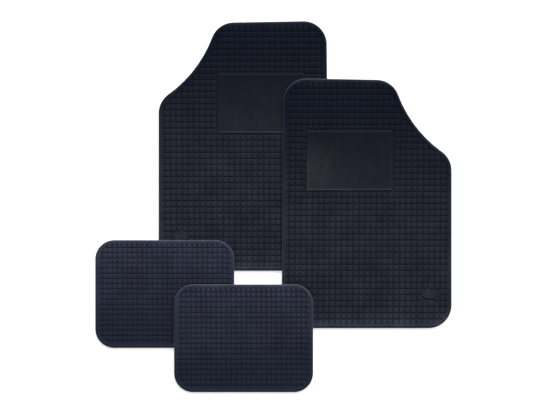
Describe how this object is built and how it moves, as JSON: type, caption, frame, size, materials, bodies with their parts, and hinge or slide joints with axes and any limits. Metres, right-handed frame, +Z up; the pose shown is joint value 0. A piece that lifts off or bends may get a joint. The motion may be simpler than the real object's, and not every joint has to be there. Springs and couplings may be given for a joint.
{
  "type": "car floor mat set",
  "caption": "Car floor mat set in grooved black rubber: front mats with wheel-arch corners and ribbed heel pads, and smaller rear mats, laid overlapping on a flat floor.",
  "frame": {"origin": "on the floor under the middle of the whole set's box, at the tips of the underside nibs", "axes": "+X to the car's right, +Y towards the front of the car, +Z up out of the mats' patterned faces"},
  "size_m": [0.9716, 1.0118, 0.0169],
  "materials": {
    "mat_rubber": "satin moulded",
    "heel_pad_rubber": "finely ribbed"
  },
  "bodies": {
    "front_left": {"front_left_mat": "mat_rubber", "front_left_heel_pad": "heel_pad_rubber"},
    "front_right": {"front_right_mat": "mat_rubber", "front_right_heel_pad": "heel_pad_rubber"},
    "rear_left": {"rear_left_mat": "mat_rubber"},
    "rear_right": {"rear_right_mat": "mat_rubber"}
  },
  "joints": [
    {"name": "front_right_lift", "type": "slide", "parent": "front_left", "child": "front_right", "axis": [0, 0, 1], "range_m": [0, 0.12]},
    {"name": "rear_left_lift", "type": "slide", "parent": "front_right", "child": "rear_left", "axis": [0, 0, 1], "range_m": [0, 0.12]},
    {"name": "rear_right_lift", "type": "slide", "parent": "rear_left", "child": "rear_right", "axis": [0, 0, 1], "range_m": [0, 0.12]}
  ]
}
